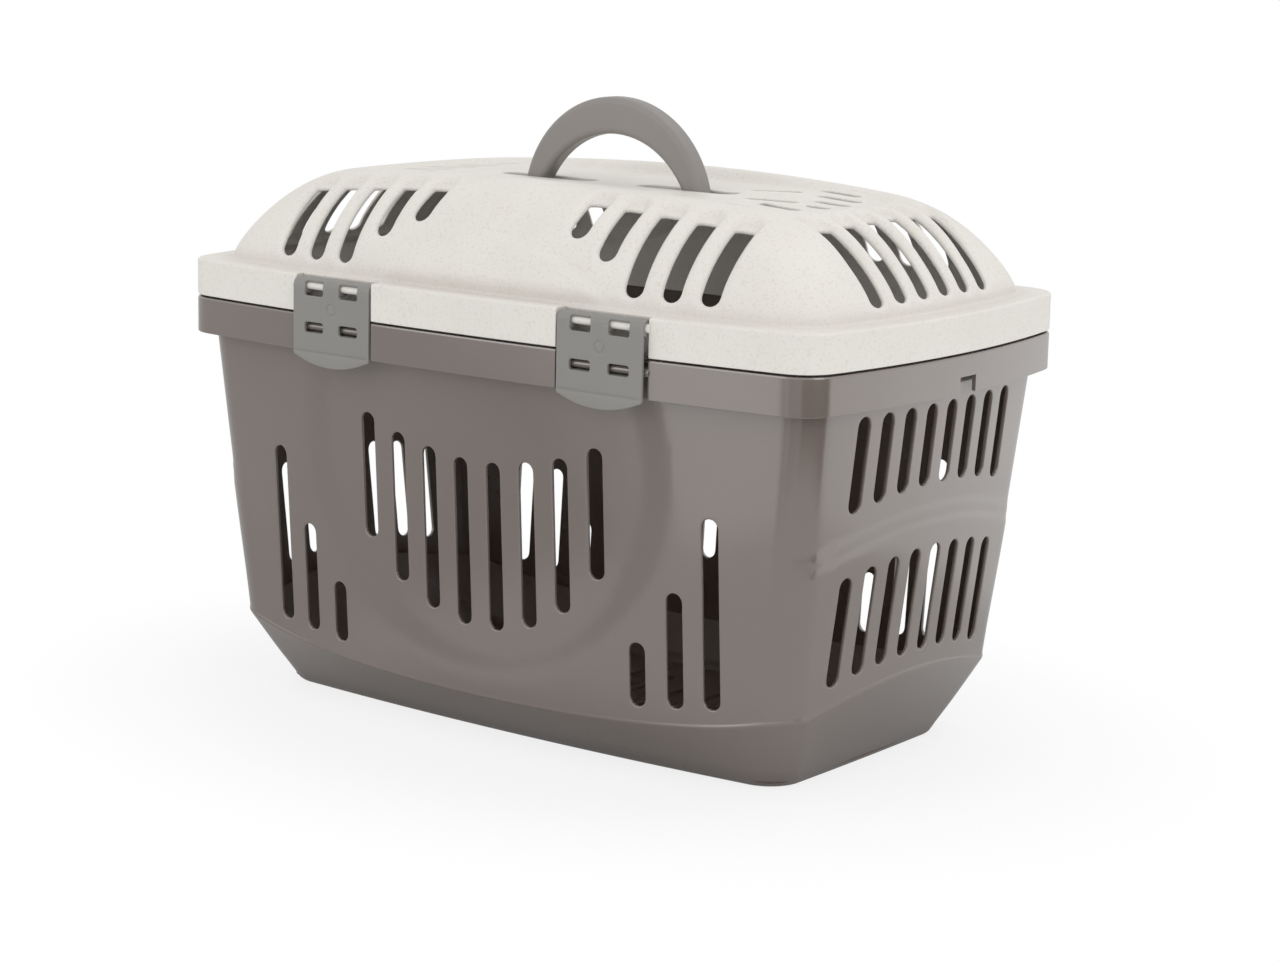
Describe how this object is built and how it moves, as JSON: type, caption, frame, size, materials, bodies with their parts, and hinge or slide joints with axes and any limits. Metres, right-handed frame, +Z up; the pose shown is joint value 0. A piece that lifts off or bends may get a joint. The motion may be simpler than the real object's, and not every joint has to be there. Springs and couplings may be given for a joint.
{
  "type": "pet carrier",
  "caption": "Top-opening plastic pet carrier: slotted tub, domed vented lid hinged on rear clips, swinging front latches and a sliding crescent handle.",
  "frame": {"origin": "middle of the foot, on the surface the carrier stands on", "axes": "+X along the long side to the right as seen from the latches, +Y from the latches to the rear hinge clips, +Z up"},
  "size_m": [0.49, 0.29, 0.3743],
  "materials": {
    "tub_plastic": "glossy taupe moulding",
    "lid_plastic": "semi-matte warm off-white with fine specks",
    "handle_plastic": "satin taupe",
    "clip_plastic": "matte neutral grey"
  },
  "bodies": {
    "base": {"base_tub": "tub_plastic", "rear_clip_left": "clip_plastic", "rear_clip_right": "clip_plastic"},
    "lid": {"lid": "lid_plastic"},
    "handle": {"handle": "handle_plastic"},
    "front_latch_left": {"front_latch_left": "clip_plastic"},
    "front_latch_right": {"front_latch_right": "clip_plastic"}
  },
  "joints": [
    {"name": "lid_hinge", "type": "hinge", "parent": "base", "child": "lid", "pos_m": [0, 0.1398, 0.262], "axis": [-1, 0, 0], "range_deg": [0, 95]},
    {"name": "latch_left_swing", "type": "hinge", "parent": "lid", "child": "front_latch_left", "pos_m": [-0.1, -0.1398, 0.262], "axis": [-1, 0, 0], "range_deg": [0, 100]},
    {"name": "latch_right_swing", "type": "hinge", "parent": "lid", "child": "front_latch_right", "pos_m": [0.1, -0.1398, 0.262], "axis": [-1, 0, 0], "range_deg": [0, 100]},
    {"name": "handle_slide", "type": "slide", "parent": "lid", "child": "handle", "axis": [0, 0, 1], "range_m": [-0.026, 0]}
  ]
}
